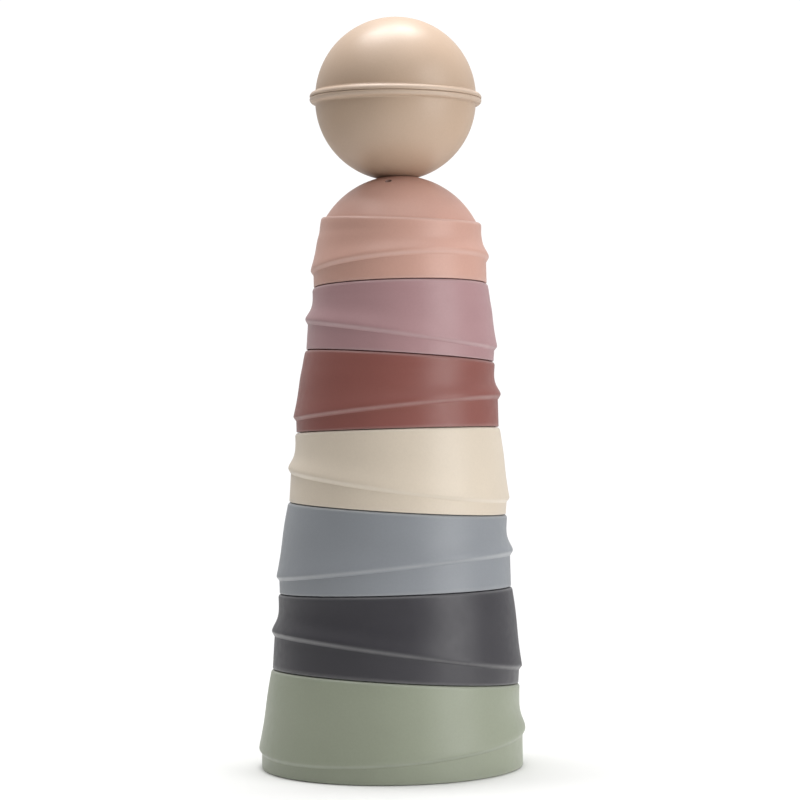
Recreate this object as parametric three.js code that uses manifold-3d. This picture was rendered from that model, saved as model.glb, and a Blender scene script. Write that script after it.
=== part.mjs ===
// Stacking cup tower: seven wedge-shaped cups, mouth down, and a hollow ball in two halves on top.
// Millimetres, +Z up, front towards -Y. Each cup's base is tilted to its mouth, and a ridge that runs
// round its wall tilts the other way, so cups turned to alternate sides build a zigzag tower.
import * as THREE from 'three';
import { mergeVertices } from 'three/addons/utils/BufferGeometryUtils.js';
import Module from 'manifold-3d';

const wasm = await Module();
wasm.setup();

// Cups: outer radius at the mouth, height from the middle of the mouth to the middle of the base and
// height of the ridge, each for the smallest cup and the step from one cup to the next larger one.
const smallestRadius = 37.4;
const radiusStep = 3.13;
const smallestHeight = 28.3;
const heightStep = 1.66;
const smallestRidgeHeight = 9.3;
const ridgeHeightStep = 0.49;

const wall = 1.5;
const baseThickness = 1.8;
const wedgeAngle = 5.18;
const ridgeAngle = 4.7;
const ridgeProud = 1.35;
const ridgeUnderside = 2.4;
const hollowDepth = 1.1;
const leanShare = 0.66;
const shoulderMargin = 0.6;
const shoulderRadius = 1.5;

// Seat between two cups: a raised step on each base fits inside the mouth of the cup above.
const stepHeight = 2.5;
const stepClearance = 0.6;
const restGap = 0.3;

// Dome of the smallest cup, a half ball on the mouth's own axis.
const domeRadius = smallestRadius - 0.2;
const domeCentreHeight = 10.4;
const domeRimRadius = smallestRadius - 2.7;

// Three drain holes, round the middle of each base.
const drainCount = 3;
const drainRadius = 1.5;
const drainCircleRadius = 16.7;
const firstDrainAngle = -104;

// Ball: two shells, each a half sphere with a bead at its rim, and a lip that joins them.
const ballRadius = 34.9;
const ballWall = 1.8;
const halfRise = 0.4;
const ballSink = 1.8;
const ballLeanRight = 1.1;
const ballLeanBack = 2;
const beadRadius = ballRadius + 2.3;
const beadHeight = 2.4;
const beadEdge = 0.9;
const lipHeight = 3;
const lipWall = 1.2;
const lipClearance = 0.5;

// Roundness of the turned shapes.
const cupSegments = 36;
const ballSegments = 32;
const drainSegments = 8;
const arcSteps = 3;

// The cups from the floor up: colour and the direction of the short side, in degrees from +X.
const cups = [
  { name: 'cup_sage', colour: '#a4a998', shortSide: 40 },
  { name: 'cup_graphite', colour: '#55555a', shortSide: 192 },
  { name: 'cup_blue', colour: '#959ca2', shortSide: -12 },
  { name: 'cup_ivory', colour: '#d9cfbd', shortSide: 160 },
  { name: 'cup_rust', colour: '#94605a', shortSide: -3 },
  { name: 'cup_lilac', colour: '#a98d8f', shortSide: 164 },
  { name: 'cup_rose', colour: '#c49c8e', shortSide: -48 },
];
const ballColour = '#c2a78f';

const radians = THREE.MathUtils.degToRad;
const point = (r, z) => new THREE.Vector2(r, z);

// Points on an arc in the profile plane, both ends included, angles in degrees from the outward axis.
function arc(centreR, centreZ, radius, from, to, steps) {
  return Array.from({ length: steps + 1 }, (_, i) => {
    const angle = radians(THREE.MathUtils.lerp(from, to, i / steps));
    return point(Math.max(0, centreR + radius * Math.cos(angle)), centreZ + radius * Math.sin(angle));
  });
}

// A profile of radius and height, turned round the Z axis. It starts and ends on the axis, lowest first.
function turned(profile, segments) {
  return new THREE.LatheGeometry(profile, segments).rotateX(Math.PI / 2);
}

// A closed geometry as a solid, without the empty triangles that a turned profile has on its axis.
function solid(geometry) {
  const bare = geometry.clone();
  bare.deleteAttribute('normal');
  bare.deleteAttribute('uv');
  const merged = mergeVertices(bare, 1e-4);
  const index = merged.index.array;
  const kept = [];
  for (let i = 0; i < index.length; i += 3) {
    const [a, b, c] = index.slice(i, i + 3);
    if (a !== b && b !== c && c !== a) kept.push(a, b, c);
  }
  return new wasm.Manifold(new wasm.Mesh({
    numProp: 3,
    vertProperties: new Float32Array(merged.attributes.position.array),
    triVerts: new Uint32Array(kept),
  }));
}

function geometryOf(manifold) {
  const { vertProperties, triVerts } = manifold.getMesh();
  const geometry = new THREE.BufferGeometry();
  geometry.setAttribute('position', new THREE.BufferAttribute(vertProperties, 3));
  geometry.setIndex(new THREE.BufferAttribute(triVerts, 1));
  geometry.computeVertexNormals();
  return geometry;
}

function plastic(colour) {
  return new THREE.MeshStandardMaterial({ color: colour, roughness: 0.55, metalness: 0 });
}

// Sizes of one cup, from the number of cups that stand on it.
function cupSize(cupsAbove) {
  const radius = smallestRadius + radiusStep * cupsAbove;
  const height = smallestHeight + heightStep * cupsAbove;
  const nextRadius = radius - radiusStep;
  return {
    radius,
    height,
    ridgeHeight: smallestRidgeHeight + ridgeHeightStep * cupsAbove,
    topRadius: cupsAbove > 0 ? nextRadius + shoulderMargin : domeRimRadius,
    stepRadius: nextRadius - wall - stepClearance,
    lean: leanShare * height * Math.tan(radians(wedgeAngle)),
  };
}

// Bends a turned shape into a cup: the ridge rises towards the short side and the base falls towards
// it, the base moves over to the short side, and the wall above the ridge is hollowed there.
function bend(geometry, size, topHeight) {
  const ridgeSlope = Math.tan(radians(ridgeAngle));
  const baseSlope = -Math.tan(radians(wedgeAngle));
  const position = geometry.attributes.position;
  for (let i = 0; i < position.count; i += 1) {
    const x = position.getX(i);
    const y = position.getY(i);
    const z = position.getZ(i);
    const radius = Math.hypot(x, y);
    const upToRidge = THREE.MathUtils.clamp(z / size.ridgeHeight, 0, 1);
    const pastRidge = THREE.MathUtils.clamp((z - size.ridgeHeight) / (topHeight - size.ridgeHeight), 0, 1);
    const slope = THREE.MathUtils.lerp(ridgeSlope * upToRidge, baseSlope, pastRidge);
    const towardsShort = radius > 0 ? (1 + x / radius) / 2 : 0;
    const hollow = hollowDepth * Math.sin(Math.PI * pastRidge) * towardsShort;
    const keep = radius > 0 ? 1 - hollow / radius : 1;
    position.setXYZ(i, x * keep + size.lean * pastRidge, y * keep, z + slope * x);
  }
  return geometry;
}

// Radius of the wall above the ridge, at a share of the way from the ridge to the base.
function wallRadius(size, share) {
  return THREE.MathUtils.lerp(size.radius + ridgeProud, size.topRadius, share);
}

function outerProfile(size) {
  const { radius, height, ridgeHeight, topRadius } = size;
  const climb = height - shoulderRadius - ridgeHeight;
  const taper = [0.2, 0.45, 0.75].map((share) => point(wallRadius(size, share), ridgeHeight + climb * share));
  return [
    point(0, 0),
    point(radius, 0),
    point(radius, ridgeHeight - ridgeUnderside),
    point(radius + ridgeProud, ridgeHeight),
    ...taper,
    ...arc(topRadius - shoulderRadius, height - shoulderRadius, shoulderRadius, 0, 90, arcSteps),
    point(0, height),
  ];
}

// The hollow inside: straight up to the ridge, then one wall thickness inside the outer taper.
function innerProfile(size) {
  const { radius, height, ridgeHeight } = size;
  const underBase = height - baseThickness;
  const taper = [0.45, 1].map((share) => {
    const outer = Math.min(radius, wallRadius(size, share));
    return point(outer - wall, THREE.MathUtils.lerp(ridgeHeight, underBase, share));
  });
  return [
    point(0, -radius),
    point(radius - wall, -radius),
    point(radius - wall, ridgeHeight),
    ...taper,
    point(0, underBase),
  ];
}

// A plain disc or post round the Z axis.
function post(radius, from, to, segments) {
  return turned([point(0, from), point(radius, from), point(radius, to), point(0, to)], segments);
}

// From a cup's own axes, with +X at its short side, to the middle of its tilted base.
function basePlace(size) {
  const place = new THREE.Matrix4().makeTranslation(size.lean, 0, size.height);
  return place.multiply(new THREE.Matrix4().makeRotationY(radians(wedgeAngle)));
}

// Drain holes through a base, seen from the front whatever way the cup is turned.
function drainHoles(from, to, shortSide) {
  const holes = Array.from({ length: drainCount }, (_, i) => {
    const angle = radians(firstDrainAngle - shortSide + (360 / drainCount) * i);
    const hole = post(drainRadius, from, to, drainSegments);
    hole.translate(drainCircleRadius * Math.cos(angle), drainCircleRadius * Math.sin(angle), 0);
    return solid(hole);
  });
  return holes.reduce((all, hole) => all.add(hole));
}

// A cup with a flat base and a raised step on it, in its own axes.
function flatCup(size, shortSide) {
  const place = basePlace(size);
  const stepTop = post(size.stepRadius, -baseThickness, stepHeight, cupSegments).applyMatrix4(place);
  const stepInside = post(
    size.stepRadius - wall, -2 * baseThickness, stepHeight - baseThickness, cupSegments,
  ).applyMatrix4(place);
  const outside = solid(bend(turned(outerProfile(size), cupSegments), size, size.height));
  const inside = solid(bend(turned(innerProfile(size), cupSegments), size, size.height - baseThickness));
  return outside
    .add(solid(stepTop))
    .subtract(inside.add(solid(stepInside)))
    .subtract(drainHoles(size.height - size.radius / 2, size.height + size.radius / 2, shortSide));
}

// Heights above the middle of the dome: of the ball's lower half sphere, and of the ball's middle.
const seatCentreAboveDome = domeRadius + ballRadius - ballSink;
const ballAboveDome = seatCentreAboveDome + halfRise + restGap / 2;

// The smallest cup: the wall of the others round a dome, with a shallow seat for the ball.
function domedCup(size, shortSide) {
  const sphere = (radius, centreHeight, from, steps) => turned(
    [point(0, centreHeight + radius * Math.sin(radians(from))),
      ...arc(0, centreHeight, radius, from, 90, steps)],
    cupSegments,
  );
  const innerRadius = domeRadius - wall;
  const seatRadius = ballRadius + restGap;
  const seatCentre = domeCentreHeight + seatCentreAboveDome;
  const wallSolid = solid(bend(turned(outerProfile(size), cupSegments), size, size.height));
  const dome = solid(sphere(domeRadius, domeCentreHeight, 0, 8));
  const inside = solid(turned([
    point(0, -size.radius),
    point(innerRadius, -size.radius),
    ...arc(0, domeCentreHeight, innerRadius, 0, 90, 7),
  ], cupSegments));
  const seat = (radius) => solid(turned(arc(0, seatCentre, radius, -90, 90, 36), cupSegments));
  return wallSolid
    .add(dome)
    .subtract(inside.subtract(seat(seatRadius + wall)))
    .subtract(seat(seatRadius))
    .subtract(drainHoles(domeCentreHeight, domeCentreHeight + domeRadius, shortSide));
}

// One half of the ball, rim at z = 0 and its middle above it; the lower half is the same turned over.
function ballShell() {
  const beadTop = beadHeight - halfRise;
  const meet = THREE.MathUtils.radToDeg(Math.asin(beadTop / ballRadius));
  return solid(turned([
    point(0, 0),
    point(ballRadius + beadEdge, 0),
    point(beadRadius, beadEdge),
    point(beadRadius, beadHeight - beadEdge),
    ...arc(0, halfRise, ballRadius, meet, 90, 8),
  ], ballSegments));
}

// The hollow of a half: a half sphere that runs down past the rim.
function ballHollow(radius, from) {
  return solid(turned([
    point(0, -ballRadius),
    point(radius, -ballRadius),
    ...arc(0, from, radius, 0, 90, 7),
  ], ballSegments));
}

const upperHalf = ballShell().subtract(ballHollow(ballRadius - ballWall, halfRise));

// The lower half, turned over, with the lip inside its rim that plugs into the upper half.
function lowerHalf() {
  const innerRadius = ballRadius - ballWall;
  const lipRadius = innerRadius - lipClearance;
  const lip = solid(post(lipRadius, -lipHeight, lipHeight, ballSegments))
    .subtract(solid(post(lipRadius - lipWall, -2 * lipHeight, 2 * lipHeight, ballSegments)));
  const collar = solid(post(ballRadius - ballWall / 2, halfRise, lipHeight, ballSegments))
    .subtract(solid(post(lipRadius - lipWall, -lipHeight, 2 * lipHeight, ballSegments)));
  return ballShell().subtract(ballHollow(innerRadius, halfRise)).add(collar).add(lip);
}

// Builds the tower: each cup's base carries the next cup, a small gap above it.
const tower = new THREE.Group();
const standing = new THREE.Matrix4();
cups.forEach((cup, i) => {
  const size = cupSize(cups.length - 1 - i);
  const domed = i === cups.length - 1;
  const make = domed ? domedCup : flatCup;
  const mesh = new THREE.Mesh(geometryOf(make(size, cup.shortSide)), plastic(cup.colour));
  mesh.name = cup.name;
  const turn = new THREE.Matrix4().makeRotationZ(radians(cup.shortSide));
  mesh.applyMatrix4(standing.clone().multiply(turn));
  tower.add(mesh);
  if (domed) {
    standing.multiply(new THREE.Matrix4().makeTranslation(0, 0, domeCentreHeight + ballAboveDome));
  } else {
    standing
      .multiply(turn)
      .multiply(basePlace(size))
      .multiply(turn.clone().invert())
      .multiply(new THREE.Matrix4().makeTranslation(0, 0, restGap));
  }
});

// The ball: its own lean comes from how it was put down, not from the cup below.
const ball = new THREE.Group();
ball.position.setFromMatrixPosition(standing);
ball.rotation.set(-radians(ballLeanBack), radians(ballLeanRight), 0);
const upper = new THREE.Mesh(geometryOf(upperHalf), plastic(ballColour));
upper.name = 'ball_upper_half';
upper.position.z = restGap / 2;
const lower = new THREE.Mesh(geometryOf(lowerHalf()), plastic(ballColour));
lower.name = 'ball_lower_half';
lower.rotation.x = Math.PI;
lower.position.z = -restGap / 2;
ball.add(upper, lower);
tower.add(ball);

// The origin is the middle of the tower's box, on the surface that it stands on.
const box = new THREE.Box3().setFromObject(tower, true);
const middle = box.getCenter(new THREE.Vector3());
tower.position.set(-middle.x, -middle.y, -box.min.z);

export default tower;
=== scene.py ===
import math

import bpy
import numpy as np
from mathutils import Euler, Matrix, Vector


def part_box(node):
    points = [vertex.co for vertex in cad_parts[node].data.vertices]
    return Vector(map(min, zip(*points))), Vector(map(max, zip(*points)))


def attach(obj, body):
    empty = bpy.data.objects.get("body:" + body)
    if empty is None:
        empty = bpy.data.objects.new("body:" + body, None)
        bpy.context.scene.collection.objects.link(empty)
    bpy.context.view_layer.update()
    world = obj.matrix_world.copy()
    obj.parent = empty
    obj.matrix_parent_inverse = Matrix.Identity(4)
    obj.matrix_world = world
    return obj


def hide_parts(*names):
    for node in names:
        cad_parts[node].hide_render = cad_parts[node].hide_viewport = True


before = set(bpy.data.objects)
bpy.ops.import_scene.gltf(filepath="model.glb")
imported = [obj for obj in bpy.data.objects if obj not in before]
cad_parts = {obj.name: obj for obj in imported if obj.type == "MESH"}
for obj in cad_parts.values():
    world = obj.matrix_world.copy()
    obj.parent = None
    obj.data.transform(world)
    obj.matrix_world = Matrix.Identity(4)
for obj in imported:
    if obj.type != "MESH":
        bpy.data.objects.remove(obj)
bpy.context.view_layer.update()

# Stacking cup tower: seven wedge cups, mouth down, and a hollow ball of two halves on the domed top cup.
# Sizes are in millimetres and degrees, and mm turns them into the frame's metres.
mm = 0.001


def turned(axis, degrees):
    # the place that turns about one of the frame's axes
    return np.array(Matrix.Rotation(math.radians(degrees), 4, axis))


def moved(x, y, z):
    # the place that moves by x, y and z
    return np.array(Matrix.Translation((x, y, z)))


def placed(place, points):
    # each point times the 4 by 4 place, for an array of points of any shape
    return points @ place[:3, :3].T + place[:3, 3]


def evenSteps(count):
    # count equal steps that end at 1
    return np.linspace(0, 1, count + 1)[1:]


def smoothStep(x):
    # 3x^2 - 2x^3, with x held between 0 and 1
    x = np.clip(x, 0, 1)
    return x * x * (3 - 2 * x)


def shellMesh(name, rows, wearAndSheenMarks, holeShade=0.0):
    # Each row is a ring closed on itself, joined to the next by quads. The first and last rows are poles,
    # one point each with a fan of triangles. Faces that enclose a negative volume are turned round.
    count, around = rows.shape[:2]
    verts = np.concatenate([rows[:1, 0], rows[1:-1].reshape(-1, 3), rows[-1:, 0]]) * mm
    marks = np.concatenate([wearAndSheenMarks[:1, 0], wearAndSheenMarks[1:-1].ravel(), wearAndSheenMarks[-1:, 0]])
    ring = np.arange(around)
    nextOne = np.roll(ring, -1)
    starts = 1 + np.arange(count - 3)[:, None] * around
    above = starts + around
    quads = np.stack([starts + ring, starts + nextOne, above + nextOne, above + ring], -1)
    last = len(verts) - 1
    lastRing = 1 + (count - 3) * around
    firstFan = np.stack([np.zeros_like(ring), 1 + nextOne, 1 + ring], -1)
    lastFan = np.stack([np.full_like(ring, last), lastRing + ring, lastRing + nextOne], -1)
    faces = quads.reshape(-1, 4)
    a, b, c = (verts[faces[:, i]] for i in range(3))
    inward = np.einsum("ij,ij->i", a, np.cross(b, c)).sum() < 0
    faceList = faces.tolist() + firstFan.tolist() + lastFan.tolist()
    if inward:
        faceList = [face[::-1] for face in faceList]
    mesh = bpy.data.meshes.new(name)
    mesh.from_pydata(verts.tolist(), [], faceList)
    mesh.polygons.foreach_set("use_smooth", np.ones(len(mesh.polygons), bool))
    # a mark for wear on rims, shoulders and the ball's bead, and for the painted highlight under each
    # ridge
    mesh.attributes.new("wearAndSheenMark", "FLOAT", "POINT").data.foreach_set("value", marks.astype(np.float32))
    # a mark on each face for the painted shade inside the drain holes: 1 on the faces the cut leaves
    # there, 0 elsewhere
    holeShadeValues = np.full(len(mesh.polygons), holeShade, np.float32)
    mesh.attributes.new("holeShade", "FLOAT", "FACE").data.foreach_set("value", holeShadeValues)
    mesh.update()
    piece = bpy.data.objects.new(name, mesh)
    bpy.context.scene.collection.objects.link(piece)
    return piece


def rounded(rows, first, last, times):
    # each ring between first and last moves to the average of itself and its neighbours, so a corner
    # in the profile becomes a small radius
    for _ in range(times):
        part = rows[first - 1:last + 2]
        rows[first:last + 1] = part[1:-1] / 2 + (part[:-2] + part[2:]) / 4
    return rows


hardEdge = 35  # degrees


def cutOut(piece, cutter):
    # takes the cutter's volume out of the piece and keeps its hard edges hard
    cut = piece.modifiers.new("cut", "BOOLEAN")
    cut.object = cutter
    cut.solver = "EXACT"
    bpy.context.view_layer.update()
    solved = piece.evaluated_get(bpy.context.evaluated_depsgraph_get())
    mesh = bpy.data.meshes.new_from_object(solved)
    piece.modifiers.clear()
    old = piece.data
    piece.data = mesh
    bpy.data.meshes.remove(old)
    bpy.data.objects.remove(cutter)
    mesh.set_sharp_from_angle(angle=math.radians(hardEdge))


# satin moulded plastic; the spreads go both ways from the middle value
plasticLook = {
    "ior": 1.5,
    "roughness": 0.41, "roughnessSpread": 0.05,
    "flowSpread": 0.035, "speckSpread": 0.02,
    "grainDepth": 0.012, "grainStrength": 0.55,  # depths in mm
    "waveDepth": 0.05, "waveStrength": 0.35,
    # the mark these act on is partly wear and partly a painted highlight under the ridges
    "wearAndSheenLeast": 0.7, "wearAndSheenLighter": 0.34, "wearAndSheenSmoother": 0.03,
    "paleToneKeeps": 0.7, "paleToneAdds": 0.28,          # the pale tone of the wear and of the painted highlight under the ridges, from the base tone
    # how much darker the painted shade makes the faces inside the drain holes
    "holeShadeDarker": 0.5,
}

# each noise's size in mm, detail and roughness
plasticNoises = {
    "flow": (38, 2, 0.5),
    "speck": (0.924, 3, 0.6),
    "wearAndSheen": (6, 4, 0.65),
    "gloss": (4, 3, 0.55),
    "grain": (0.42, 4, 0.7),
    "wave": (9, 1, 0.4),
}
noiseLow, noiseHigh = 0.3, 0.7  # nearly all of a noise's values lie in between


def plasticMaterial(name, colour):
    # every pattern is laid out on Object coordinates, or on the mesh's two marks: wear with the painted
    # highlight under the ridges, and the painted shade inside the drain holes
    look = plasticLook
    material = bpy.data.materials.new(name)
    material.use_nodes = True
    material.diffuse_color = (*colour, 1)
    tree = material.node_tree
    nodes, links = tree.nodes, tree.links
    shader = nodes["Principled BSDF"]
    shader.inputs["IOR"].default_value = look["ior"]
    place = nodes.new("ShaderNodeTexCoord")

    def noise(kind):
        size, detail, roughness = plasticNoises[kind]
        node = nodes.new("ShaderNodeTexNoise")
        node.inputs["Scale"].default_value = 1 / (size * mm)
        node.inputs["Detail"].default_value = detail
        node.inputs["Roughness"].default_value = roughness
        links.new(place.outputs["Object"], node.inputs["Vector"])
        return node.outputs["Fac"]

    def spread(source, low, high):
        # brings a noise to the stretch from low to high
        node = nodes.new("ShaderNodeMapRange")
        node.inputs["From Min"].default_value = noiseLow
        node.inputs["From Max"].default_value = noiseHigh
        node.inputs["To Min"].default_value = low
        node.inputs["To Max"].default_value = high
        links.new(source, node.inputs["Value"])
        return node.outputs["Result"]

    def combined(kind, one, two):
        node = nodes.new("ShaderNodeMath")
        node.operation = kind
        for socket, value in zip(node.inputs, (one, two)):
            if isinstance(value, (int, float)):
                socket.default_value = value
            else:
                links.new(value, socket)
        return node.outputs["Value"]

    def mark(attribute):
        node = nodes.new("ShaderNodeAttribute")
        node.attribute_name = attribute
        return node.outputs["Fac"]

    def bump(height, depth, strength):
        node = nodes.new("ShaderNodeBump")
        node.inputs["Strength"].default_value = strength
        node.inputs["Distance"].default_value = depth * mm
        links.new(height, node.inputs["Height"])
        return node

    # colour: the base tone, drifting slowly where the melt flowed, with a fine speckle of pigment, and
    # darker inside the drain holes, a painted shade in the hollows
    flow = spread(noise("flow"), 1 - look["flowSpread"], 1 + look["flowSpread"])
    speck = spread(noise("speck"), 1 - look["speckSpread"], 1 + look["speckSpread"])
    # painted shade: the faces inside the drain holes are made darker
    holeShadeFactor = combined("SUBTRACT", 1.0, combined("MULTIPLY", mark("holeShade"), look["holeShadeDarker"]))
    tone = nodes.new("ShaderNodeVectorMath")
    tone.operation = "SCALE"
    tone.inputs[0].default_value = colour
    links.new(combined("MULTIPLY", combined("MULTIPLY", flow, speck), holeShadeFactor), tone.inputs["Scale"])
    # rims, shoulders and the ball's bead are rubbed a little paler and smoother, in patches; the same
    # mark paints a paler band under each ridge's crest, a painted highlight for the white floor's
    # reflection
    wearAndSheen = combined("MULTIPLY", mark("wearAndSheenMark"), spread(noise("wearAndSheen"), look["wearAndSheenLeast"], 1.0))
    pale = nodes.new("ShaderNodeMix")
    pale.data_type = "RGBA"
    links.new(combined("MULTIPLY", wearAndSheen, look["wearAndSheenLighter"]), pale.inputs["Factor"])
    links.new(tone.outputs["Vector"], pale.inputs["A"])
    pale.inputs["B"].default_value = (*[c * look["paleToneKeeps"] + look["paleToneAdds"] for c in colour], 1)
    links.new(pale.outputs["Result"], shader.inputs["Base Color"])
    # gloss: satin, uneven over a few millimetres
    middle, half = look["roughness"], look["roughnessSpread"]
    gloss = spread(noise("gloss"), middle - half, middle + half)
    links.new(combined("SUBTRACT", gloss, combined("MULTIPLY", wearAndSheen, look["wearAndSheenSmoother"])),
              shader.inputs["Roughness"])
    # surface: a spark-eroded mould's fine grain over a barely felt waviness
    grain = bump(noise("grain"), look["grainDepth"], look["grainStrength"])
    wave = bump(noise("wave"), look["waveDepth"], look["waveStrength"])
    links.new(wave.outputs["Normal"], grain.inputs["Normal"])
    links.new(grain.outputs["Normal"], shader.inputs["Normal"])
    return material


cupShape = {
    "smallestRadius": 37.4, "radiusStep": 3.13,
    "smallestHeight": 28.3, "heightStep": 1.66,
    "smallestRidgeHeight": 9.3, "ridgeHeightStep": 0.49,
    "wall": 1.5, "baseThickness": 1.8,
    "wedge": 5.18, "ridgeTilt": 4.7, "leanShare": 0.66,
    "shoulderMargin": 0.6, "shoulderRadius": 1.5,
    "stepHeight": 2.5, "stepClearance": 0.6, "restGap": 0.3,
    "rimRadius": 0.35, "stepCorner": 0.5, "ceilingCorner": 1.2, "stepInsideCorner": 0.8,
    "markReach": 0.8,
    "around": 224,
}

# how many rows of faces each stretch of a cup's profile has
cupRows = {
    "rim": 4, "skirt": 8, "underside": 14, "wall": 45, "shoulder": 7,
    "insideSkirt": 6, "insideWall": 17, "ceiling": 5,
    "ledge": 2, "stepFoot": 3, "stepEdge": 4, "stepInsideEdge": 3, "stepFlat": 21,
    "domeLedge": 4, "dome": 39, "seat": 13, "domeSkirt": 8, "domeInside": 45,
}

# how the wall swells; pairs are for the tall side and for the short side
ridgeForm = {
    "proud": (1.2, 1.3),
    "underside": (1.9, 2.2),
    "undersideCurve": 1.25,
    "wave": 0.055,
    "flareReach": 0.34, "flareCurve": 1.6,
    "dipBelowLip": 4.5, "dipWidth": 2.4, "dipFade": 2, "dipCurve": 0.7,
    "crestRowsBelow": 3, "crestRowsAbove": 2, "crestRounding": 3,
}

# from the floor up; shortSide is the direction of the low side of the base, from +X
cups = [
    {"node": "cup_sage", "piece": "sageCup", "colour": (0.285, 0.31, 0.235),
     "shortSide": 40, "lipDip": 0},
    {"node": "cup_graphite", "piece": "graphiteCup", "colour": (0.041, 0.039, 0.046),
     "shortSide": 192, "lipDip": 0},
    {"node": "cup_blue", "piece": "blueGreyCup", "colour": (0.245, 0.26, 0.282),
     "shortSide": -12, "lipDip": 0},
    {"node": "cup_ivory", "piece": "ivoryCup", "colour": (0.645, 0.56, 0.455),
     "shortSide": 160, "lipDip": 0.1},
    {"node": "cup_rust", "piece": "rustCup", "colour": (0.24, 0.08, 0.066),
     "shortSide": -3, "lipDip": 0.15},
    {"node": "cup_lilac", "piece": "lilacCup", "colour": (0.385, 0.225, 0.235),
     "shortSide": 164, "lipDip": 0.2},
    {"node": "cup_rose", "piece": "roseCup", "colour": (0.565, 0.325, 0.262),
     "shortSide": -48, "lipDip": 0.45},
]

domeShape = {"radius": 37.2, "centreHeight": 10.4, "lipRadius": 34.7}
drains = {"count": 3, "radius": 1.5, "circleRadius": 16.7, "firstAngle": -104, "around": 24}


def cupSize(cupsAbove):
    # each size is the smallest cup's plus one step for every cup above
    shape = cupShape
    radius = shape["smallestRadius"] + shape["radiusStep"] * cupsAbove
    height = shape["smallestHeight"] + shape["heightStep"] * cupsAbove
    nextRadius = radius - shape["radiusStep"]
    return {
        "radius": radius,
        "height": height,
        "ridgeHeight": shape["smallestRidgeHeight"] + shape["ridgeHeightStep"] * cupsAbove,
        "topRadius": nextRadius + shape["shoulderMargin"] if cupsAbove else domeShape["lipRadius"],
        "stepRadius": nextRadius - shape["wall"] - shape["stepClearance"],
        "lean": shape["leanShare"] * height * math.tan(math.radians(shape["wedge"])),
    }


def basePlace(size):
    # the base's own frame: its middle stands off the mouth's axis, and it tips down towards +X
    return moved(size["lean"], 0, size["height"]) @ turned("Y", cupShape["wedge"])


def ringPoints(phi, radius, height):
    # a circle of points round the axis; radius and height may change with the angle phi
    return np.stack([radius * np.cos(phi), radius * np.sin(phi), height + 0 * phi], -1)


def arcRings(phi, centreRadius, centreHeight, radius, fromAngle, toAngle, steps):
    # an arc in the profile, carried round the axis: one ring for each step of the angle
    return [ringPoints(phi, centreRadius + radius * math.cos(a), centreHeight + radius * math.sin(a))
            for a in np.radians(np.linspace(fromAngle, toAngle, steps + 1))]


def wallSwell(phi, t, size, lipDip, proud):
    # How far the wall stands off a straight line from ridge to shoulder, t going from 0 to 1.
    # Tall side: the line less a slow sine. Short side: exp(-(t / reach)^curve), a flare under a straight
    # upper wall. The two are mixed by the angle, and a soft dip lies under the lip on the tall side.
    form = ridgeForm
    shortShare = (1 + np.cos(phi)) / 2
    tall = 1 - t - form["wave"] * np.sin(2 * np.pi * t)
    flare = np.exp(-(t / form["flareReach"]) ** form["flareCurve"])
    flare = flare - t * math.exp(-(1 / form["flareReach"]) ** form["flareCurve"])
    mixed = shortShare * flare + (1 - shortShare) * tall
    swell = (size["radius"] + proud - size["topRadius"]) * (mixed - (1 - t))
    length = size["height"] - size["ridgeHeight"]
    below = (1 - t) * length
    dip = np.exp(-((below - form["dipBelowLip"]) / form["dipWidth"]) ** 2)
    dip = dip * smoothStep(below / form["dipFade"])
    return swell - lipDip * dip * (1 - shortShare) ** form["dipCurve"]


def wallRings(phi, size, cup, low, high, proud, count):
    # rings from the ring low to the ring high, pushed out along the radius by the swell
    t = evenSteps(count)[:, None]
    out = ringPoints(phi, 1, 0)
    swell = wallSwell(phi[None], t, size, cup["lipDip"], proud)
    return list(low * (1 - t[..., None]) + high * t[..., None] + out * swell[..., None])


def outerRings(phi, size, cup):
    # Up the outside: mouth rim, skirt, the ridge's underside, the wall above it and the shoulder. The
    # underside draws in by proud (1 - s^curve), s going from 0 at the crest to 1 at the skirt.
    shape, form = cupShape, ridgeForm
    shortShare = (1 + np.cos(phi)) / 2
    proud, under = (tall + (short - tall) * shortShare
                    for tall, short in (form["proud"], form["underside"]))
    radius, rim = size["radius"], shape["rimRadius"]
    ridge = size["ridgeHeight"] + radius * math.tan(math.radians(shape["ridgeTilt"])) * np.cos(phi)
    rings = arcRings(phi, radius - rim, rim, rim, -90, 0, cupRows["rim"])
    skirtTop = ridge - under
    rings += [ringPoints(phi, radius, rim + (skirtTop - rim) * s) for s in evenSteps(cupRows["skirt"])]
    rings += [ringPoints(phi, radius + proud * (1 - s ** form["undersideCurve"]), ridge - under * s)
              for s in 1 - evenSteps(cupRows["underside"])]
    ridgeRow = len(rings) - 1
    corner = shape["shoulderRadius"]
    shoulder = [placed(basePlace(size), ring) for ring in
                arcRings(phi, size["topRadius"] - corner, -corner, corner, 0, 90, cupRows["shoulder"])]
    rings += wallRings(phi, size, cup, rings[-1], shoulder[0], proud, cupRows["wall"])
    return rings + shoulder[1:], ridgeRow


def innerRings(phi, size, cup):
    # up the inside: rim, straight wall, then one wall thickness inside the outer taper
    shape = cupShape
    radius, rim = size["radius"] - shape["wall"], shape["rimRadius"]
    ridge = size["ridgeHeight"] + radius * math.tan(math.radians(shape["ridgeTilt"])) * np.cos(phi)
    rings = arcRings(phi, radius + rim, rim, rim, -90, -180, cupRows["rim"])
    rings += [ringPoints(phi, radius, rim + (ridge - rim) * s)
              for s in evenSteps(cupRows["insideSkirt"])]
    corner = shape["ceilingCorner"]
    ceiling = [placed(basePlace(size), ring) for ring in
               arcRings(phi, size["topRadius"] - shape["wall"] - corner, -shape["baseThickness"] - corner,
                        corner, 0, 90, cupRows["ceiling"])]
    rings += wallRings(phi, size, cup, rings[-1], ceiling[0], 0, cupRows["insideWall"])
    return rings + ceiling[1:]


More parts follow.
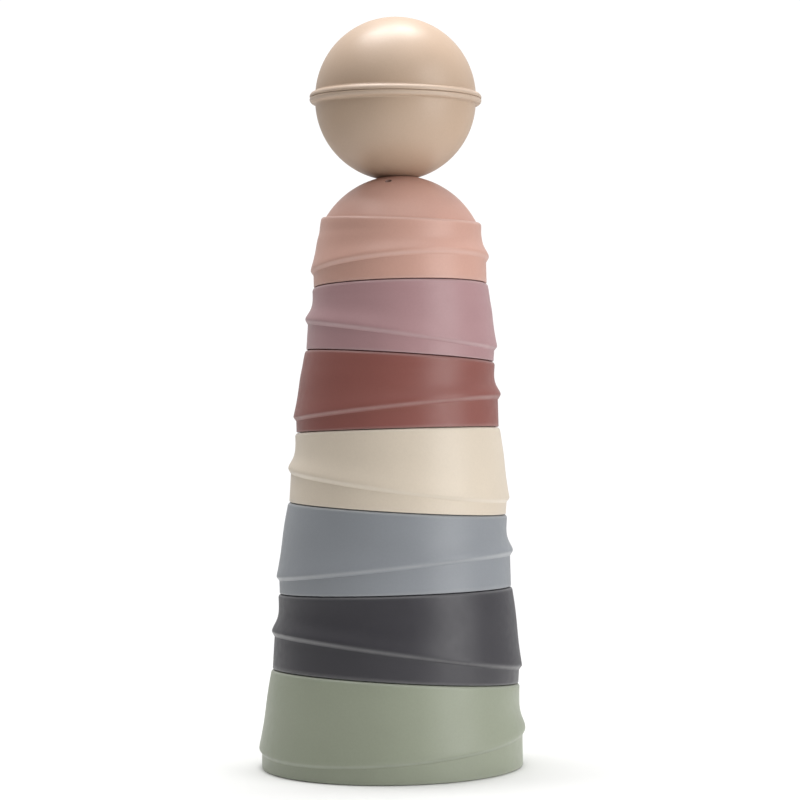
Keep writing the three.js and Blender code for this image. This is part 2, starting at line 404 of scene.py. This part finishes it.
def flatRings(phi, fromRadius, toRadius, height, count):
    # rings in a plane, from just past one radius to the other
    return [ringPoints(phi, r, height) for r in np.linspace(fromRadius, toRadius, count + 1)[1:]]


def stepOutside(phi, size):
    # the ledge that the next cup stands on and the raised step inside it, in the base's own plane
    shape = cupShape
    corner, step, tall = shape["stepCorner"], size["stepRadius"], shape["stepHeight"]
    ledgeEdge = size["topRadius"] - shape["shoulderRadius"]
    rings = flatRings(phi, ledgeEdge, step + corner, 0, cupRows["ledge"])
    rings += arcRings(phi, step + corner, corner, corner, -90, -180, cupRows["stepFoot"])[1:]
    rings += arcRings(phi, step - corner, tall - corner, corner, 0, 90, cupRows["stepEdge"])
    return rings + flatRings(phi, step - corner, 0, tall, cupRows["stepFlat"])


def stepInside(phi, size):
    # the same step seen from inside, one wall thickness in
    shape = cupShape
    corner, step = shape["stepInsideCorner"], size["stepRadius"] - shape["wall"]
    low, high = -shape["baseThickness"], shape["stepHeight"] - shape["baseThickness"]
    ceilingEdge = size["topRadius"] - shape["wall"] - shape["ceilingCorner"]
    rings = flatRings(phi, ceilingEdge, step + corner, low, cupRows["ledge"])
    rings += [ringPoints(phi, step, (low + high) / 2)]
    rings += arcRings(phi, step - corner, high - corner, corner, 0, 90, cupRows["stepInsideEdge"])
    return rings + flatRings(phi, step - corner, 0, high, cupRows["stepFlat"])


def fadeFromRings(rings, marked, reach):
    # 1 on the marked rings, fading to 0 over reach millimetres along the profile
    run = np.linalg.norm(np.diff(rings, axis=0), axis=-1).mean(axis=1)
    along = np.concatenate([[0], np.cumsum(run)])
    away = np.min([np.abs(along - along[m]) for m in marked], axis=0)
    return np.repeat(np.exp(-(away / reach) ** 2)[:, None], rings.shape[1], axis=1)


def cupRings(cup, size, domed):
    # One closed surface: from the middle of the inside, down the inner wall, round the rim, up the
    # outer wall and over the base to its middle.
    form = ridgeForm
    phi = np.linspace(0, 2 * np.pi, cupShape["around"], endpoint=False)
    outer, ridgeRow = outerRings(phi, size, cup)
    if domed:
        inside, top = domeInside(phi), domeOutside(phi, size)
    else:
        base = basePlace(size)
        inside = innerRings(phi, size, cup) + [placed(base, ring) for ring in stepInside(phi, size)]
        top = [placed(base, ring) for ring in stepOutside(phi, size)]
    rings = np.array(inside[::-1] + outer + top)
    rim = len(inside)
    crest, shoulder = rim + ridgeRow, rim + len(outer) - cupRows["shoulder"] // 2 - 1
    rings = rounded(rings, crest - form["crestRowsBelow"], crest + form["crestRowsAbove"],
                    form["crestRounding"])
    # marks for wear on the mouth rim and the shoulder, and at the middle of the ridge's underside for a
    # painted highlight standing for the floor's reflection
    wearAndSheenMarks = fadeFromRings(rings, [rim, crest - cupRows["underside"] // 2, shoulder], cupShape["markReach"])
    return rings, wearAndSheenMarks


ballShape = {
    "radius": 34.9, "wall": 1.8, "halfRise": 0.4, "sink": 1.8,
    "leanRight": 1.1, "leanBack": 2,
    "seatClearance": 0.12,
    "beadRadius": 37.15, "beadHeight": 2.4, "beadCurve": 0.7,
    "grooveRadius": 36.5, "rimDrop": 0.11, "skin": 0.03, "joinFace": 0.4,
    "lipHeight": 3, "lipWall": 1.2, "lipClearance": 0.3,
    "lipRoot": 0.6, "boreTop": 1.5, "boreCorner": 0.3, "plugCorner": 0.5, "plugRows": (-1.5, -0.2, 0),
    "chamfer": 0.2, "markReach": 0.9,
    "around": 224, "beadRows": 18, "outsideRows": 59, "insideRows": 39, "plainInsideRows": 43,
    "boreRings": 6, "boreCornerRows": 3, "plugCornerRows": 4,
}
seatAboveDome = domeShape["radius"] + ballShape["radius"] - ballShape["sink"]
ballAboveDome = seatAboveDome + ballShape["halfRise"] + cupShape["restGap"] / 2


def polarRings(directions, centreHeight, radius, fromAngle, toAngle, count):
    # rings on a sphere; the angles are measured down from the pole and may change with the direction
    rings = []
    for share in np.linspace(0, 1, count + 1):
        angle = fromAngle + (toAngle - fromAngle) * share
        height = centreHeight + radius * np.cos(angle)
        rings.append(ringPoints(directions, radius * np.sin(angle), height))
    return rings


def domeOutside(phi, size):
    # The lip's flat ledge runs in to the dome: on each ray of the tilted base the ledge ends where the
    # ray meets the sphere, a quadratic in the distance. From there the dome goes up its own meridian
    # to the seat, a shallow hollow of nearly the ball's own radius.
    radius, centreHeight = domeShape["radius"], domeShape["centreHeight"]
    base = basePlace(size)
    middle = base[:3, 3]
    centre = np.array([0, 0, centreHeight])
    ray = placed(base, ringPoints(phi, 1.0, 0)) - middle
    offset = middle - centre
    along = ray @ offset
    reach = -along + np.sqrt(along ** 2 - offset @ offset + radius ** 2)
    start = size["topRadius"] - cupShape["shoulderRadius"]
    ledge = [middle + ray * (start + (reach - start) * s)[:, None]
             for s in evenSteps(cupRows["domeLedge"])]
    foot = ledge[-1] - centre
    directions = np.arctan2(foot[:, 1], foot[:, 0])
    footAngle = np.arccos(foot[:, 2] / radius)
    seatRadius = ballShape["radius"] + ballShape["seatClearance"]
    # the circle where the seat's sphere meets the dome's, seen from the middle of each
    meet = (seatAboveDome ** 2 + radius ** 2 - seatRadius ** 2) / (2 * seatAboveDome)
    rimAngle = math.acos(meet / radius)
    seatHalf = math.asin(math.sqrt(radius ** 2 - meet ** 2) / seatRadius)
    rings = polarRings(directions, centreHeight, radius, footAngle, rimAngle, cupRows["dome"])
    for angle in np.linspace(seatHalf, 0, cupRows["seat"] + 1)[1:]:
        rings.append(ringPoints(directions, seatRadius * math.sin(angle),
                                centreHeight + seatAboveDome - seatRadius * math.cos(angle)))
    return ledge + rings[1:]


def domeInside(phi):
    # straight up to the dome's middle, then a sphere one wall inside it, pushed in under the seat:
    # along each ray from the dome's middle the nearer of the two spheres
    centreHeight, rim = domeShape["centreHeight"], cupShape["rimRadius"]
    inner = domeShape["radius"] - cupShape["wall"]
    under = ballShape["radius"] + cupShape["wall"]
    rings = arcRings(phi, inner + rim, rim, rim, -90, -180, cupRows["rim"])
    rings += [ringPoints(phi, inner, rim + (centreHeight - rim) * s)
              for s in evenSteps(cupRows["domeSkirt"])]
    for angle in np.linspace(math.pi / 2, 0, cupRows["domeInside"] + 1)[1:]:
        side = under ** 2 - (seatAboveDome * math.sin(angle)) ** 2
        near = seatAboveDome * math.cos(angle) - math.sqrt(side) if side > 0 else inner
        reach = min(inner, near)
        rings.append(ringPoints(phi, reach * math.sin(angle), centreHeight + reach * math.cos(angle)))
    return rings


def beadRings(phi):
    # Half of the groove, then a rounded bead that runs into the sphere: in profile the line from the
    # groove to the sphere plus a bulge of sin(angle)^beadCurve. The edge drops to nearly touch the
    # other half.
    shape = ballShape
    tall, drop, groove = shape["beadHeight"], shape["rimDrop"], shape["grooveRadius"]
    end = math.sqrt(shape["radius"] ** 2 - (tall - shape["halfRise"]) ** 2)
    rings = []
    for share in np.linspace(0, 1, shape["beadRows"] + 1):
        angle = math.pi * share
        line = groove + (end - groove) * share
        bulge = (shape["beadRadius"] - (groove + end) / 2) * math.sin(angle) ** shape["beadCurve"]
        rings.append(ringPoints(phi, line + bulge, (tall + drop) * (1 - math.cos(angle)) / 2 - drop))
    return rings


def lipRings(phi, plug):
    # the lip that plugs into the other half: down its bore, round its end and up its outside
    shape = ballShape
    bore, root, end = plug - shape["lipWall"], shape["lipHeight"] - shape["lipRoot"], -shape["lipHeight"]
    boreCorner, plugCorner = shape["boreCorner"], shape["plugCorner"]
    heights = [root, *np.linspace(shape["boreTop"], end + boreCorner, shape["boreRings"])]
    rings = [ringPoints(phi, bore, z) for z in heights]
    rings += arcRings(phi, bore + boreCorner, end + boreCorner, boreCorner, 180, 270,
                      shape["boreCornerRows"])[1:]
    rings += arcRings(phi, plug - plugCorner, end + plugCorner, plugCorner, 270, 360,
                      shape["plugCornerRows"])
    return rings + [ringPoints(phi, plug, z) for z in shape["plugRows"]]


def ballHalf(withLip):
    # One closed surface: up the inside from the pole, over the rim, round the bead and up the outside.
    shape = ballShape
    phi = np.linspace(0, 2 * np.pi, shape["around"], endpoint=False)
    inner, rise, chamfer = shape["radius"] - shape["wall"], shape["halfRise"], shape["chamfer"]
    if withLip:
        low = math.acos((shape["lipHeight"] - rise) / inner)
        inside = polarRings(phi, rise, inner, 0, low, shape["insideRows"])
        inside += lipRings(phi, inner - shape["lipClearance"])
    else:
        inside = polarRings(phi, rise, inner, 0, math.pi / 2, shape["plainInsideRows"])
        inside += [ringPoints(phi, inner, chamfer), ringPoints(phi, inner + chamfer, 0)]
    inside += [ringPoints(phi, shape["radius"] - shape["joinFace"], 0)]
    outside = beadRings(phi)
    beadTop = math.acos((shape["beadHeight"] - rise) / shape["radius"])
    ballSkin = shape["radius"] - shape["skin"]
    outside += polarRings(phi, rise, ballSkin, beadTop, 0, shape["outsideRows"])[1:]
    rings = np.array(inside + outside)
    beadMiddle = len(inside) + (shape["beadRows"] + 1) // 2
    return rings, fadeFromRings(rings, [beadMiddle], shape["markReach"])


def drainCutter(place, low, high, shortSide):
    # One mesh of round posts, evenly spaced on a circle. The first stands at the same angle on every
    # cup, whichever way the short side points.
    phi = np.linspace(0, 2 * np.pi, drains["around"], endpoint=False)
    post = np.array([ringPoints(phi, radius, height) for radius, height in
                     ((0, low), (drains["radius"], low), (drains["radius"], high), (0, high))])
    posts = []
    for i in range(drains["count"]):
        angle = math.radians(drains["firstAngle"] - shortSide + i * 360 / drains["count"])
        aside = np.array([math.cos(angle), math.sin(angle), 0]) * drains["circleRadius"]
        points = placed(place, post + aside)
        # the posts' faces, left inside the holes by the cut, carry the mark for the painted shade
        posts.append(shellMesh("drainCutter", points, np.zeros(post.shape[:2]), holeShade=1.0))
    with bpy.context.temp_override(active_object=posts[0], selected_editable_objects=posts):
        bpy.ops.object.join()
    return posts[0]


def addPiece(piece, node, material):
    # the piece takes the CAD node's place, body and slot
    piece.data.materials.clear()
    piece.data.materials.append(material)
    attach(piece, node)
    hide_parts(node)


sageLow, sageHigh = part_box("cup_sage")
middle = (Vector(sageLow) + Vector(sageHigh)) / 2 / mm
standing = moved(middle.x, middle.y, 0)

for i, cup in enumerate(cups):
    size = cupSize(len(cups) - 1 - i)
    domed = i == len(cups) - 1
    place = standing @ turned("Z", cup["shortSide"])
    rings, wearAndSheenMarks = cupRings(cup, size, domed)
    # how high the posts that cut the drain holes start and end
    if domed:
        low, high = domeShape["centreHeight"], domeShape["centreHeight"] + domeShape["radius"]
    else:
        low, high = size["height"] - size["radius"] / 2, size["height"] + size["radius"] / 2
    piece = shellMesh(cup["piece"], placed(place, rings), wearAndSheenMarks)
    cutOut(piece, drainCutter(place, low, high, cup["shortSide"]))
    material = plasticMaterial(cup["piece"] + "Plastic", cup["colour"])
    addPiece(piece, cup["node"], material)
    if domed:
        standing = standing @ moved(0, 0, domeShape["centreHeight"] + ballAboveDome)
    else:
        standing = (place @ basePlace(size) @ turned("Z", -cup["shortSide"])
                    @ moved(0, 0, cupShape["restGap"]))
    print(cup["piece"], "made,", len(piece.data.polygons), "faces")

ballPlace = (moved(*standing[:3, 3]) @ turned("X", -ballShape["leanBack"])
             @ turned("Y", ballShape["leanRight"]))
ballColour = (0.51, 0.375, 0.275)
sand = plasticMaterial("sandPlastic", ballColour)
gap = cupShape["restGap"] / 2
halves = [
    {"node": "ball_upper_half", "piece": "ballUpperHalf", "lip": False, "place": moved(0, 0, gap)},
    {"node": "ball_lower_half", "piece": "ballLowerHalf", "lip": True,
     "place": moved(0, 0, -gap) @ turned("X", 180)},
]
for half in halves:
    rings, wearAndSheenMarks = ballHalf(half["lip"])
    piece = shellMesh(half["piece"], placed(ballPlace @ half["place"], rings), wearAndSheenMarks)
    addPiece(piece, half["node"], sand)
    print(half["piece"], "made,", len(piece.data.polygons), "faces")


studio = {
    "floorRadius": 600, "floorForward": 190, "floorDrop": 0.2, "floorAround": 96,
    "floorColour": (0.8, 0.8, 0.79), "floorRoughness": 0.8,
    "frontLight": 0.2, "backLight": 0.66, "backdrop": 1.05,
    "backAndUp": (0, 0.85, 0.53), "frontEnds": -0.2, "backStarts": 0.9,
}

# the floor is a round sheet; past its edge the same white goes on as the world's backdrop
phi = np.linspace(0, 2 * np.pi, studio["floorAround"], endpoint=False)
floorPlace = moved(0, -studio["floorForward"], -studio["floorDrop"])
edge = placed(floorPlace, ringPoints(phi, studio["floorRadius"], 0)) * mm
floorMesh = bpy.data.meshes.new("floor")
floorMesh.from_pydata(edge.tolist(), [], [list(range(len(phi)))])
floor = bpy.data.objects.new("floor", floorMesh)
bpy.context.scene.collection.objects.link(floor)
floorMaterial = bpy.data.materials.new("paleFloor")
floorMaterial.use_nodes = True
floorShader = floorMaterial.node_tree.nodes["Principled BSDF"]
floorShader.inputs["Base Color"].default_value = (*studio["floorColour"], 1)
floorShader.inputs["Roughness"].default_value = studio["floorRoughness"]
floorMesh.materials.append(floorMaterial)

# The backdrop shows white. To the tower it is a white sweep behind and above and a dim room in front:
# the strength rises with the direction's share of backAndUp.
world = bpy.data.worlds.new("studioWorld")
world.use_nodes = True
tree = world.node_tree
background = tree.nodes["Background"]
background.inputs["Color"].default_value = (1, 1, 1, 1)
direction = tree.nodes.new("ShaderNodeTexCoord")
backAndUp = tree.nodes.new("ShaderNodeVectorMath")
backAndUp.operation = "DOT_PRODUCT"
backAndUp.inputs[1].default_value = studio["backAndUp"]
room = tree.nodes.new("ShaderNodeMapRange")
room.interpolation_type = "SMOOTHSTEP"
room.inputs["From Min"].default_value = studio["frontEnds"]
room.inputs["From Max"].default_value = studio["backStarts"]
room.inputs["To Min"].default_value = studio["frontLight"]
room.inputs["To Max"].default_value = studio["backLight"]
path = tree.nodes.new("ShaderNodeLightPath")
strength = tree.nodes.new("ShaderNodeMix")
strength.inputs["B"].default_value = studio["backdrop"]
tree.links.new(direction.outputs["Generated"], backAndUp.inputs[0])
tree.links.new(backAndUp.outputs["Value"], room.inputs["Value"])
tree.links.new(path.outputs["Is Camera Ray"], strength.inputs["Factor"])
tree.links.new(room.outputs["Result"], strength.inputs["A"])
tree.links.new(strength.outputs["Result"], background.inputs["Strength"])
bpy.context.scene.world = world

# each soft light: its place and what it points at in metres, its size and how bright its face is
lights = [
    {"name": "softboxTop", "at": (-0.1, -0.3, 1.3), "to": (0, 0, 0.25),
     "size": (1.3, 1.0), "bright": 1.3},
    {"name": "stripAbove", "at": (-0.05, 0.24, 1.2), "to": (0, 0, 0.3),
     "size": (0.8, 0.35), "bright": 13},
    {"name": "softboxRight", "at": (0.84, -0.54, 0.34), "to": (0, 0, 0.2),
     "size": (0.7, 1.3), "bright": 3.0},
]
for light in lights:
    lamp = bpy.data.lights.new(light["name"], "AREA")
    lamp.shape = "RECTANGLE"
    lamp.size, lamp.size_y = light["size"]
    lamp.energy = light["bright"] * math.pi * lamp.size * lamp.size_y
    box = bpy.data.objects.new(light["name"], lamp)
    box.location = light["at"]
    aim = Vector(light["to"]) - Vector(light["at"])
    box.rotation_euler = aim.to_track_quat("-Z", "Y").to_euler()
    bpy.context.scene.collection.objects.link(box)

# a long lens in front, just above the floor, tipped down a little and rolled a hair
view = {"lens": 127.75, "sensor": 36, "at": (0.0056, -1.22, 0.1892), "tipDown": 1.5, "roll": 0.73}
cameraData = bpy.data.cameras.new("camera")
cameraData.lens = view["lens"]
cameraData.sensor_width = view["sensor"]
camera = bpy.data.objects.new("camera", cameraData)
camera.location = view["at"]
camera.rotation_euler = Euler((math.radians(90 - view["tipDown"]), math.radians(view["roll"]), 0))
bpy.context.scene.collection.objects.link(camera)
bpy.context.scene.camera = camera
bpy.context.scene.view_settings.view_transform = "Standard"
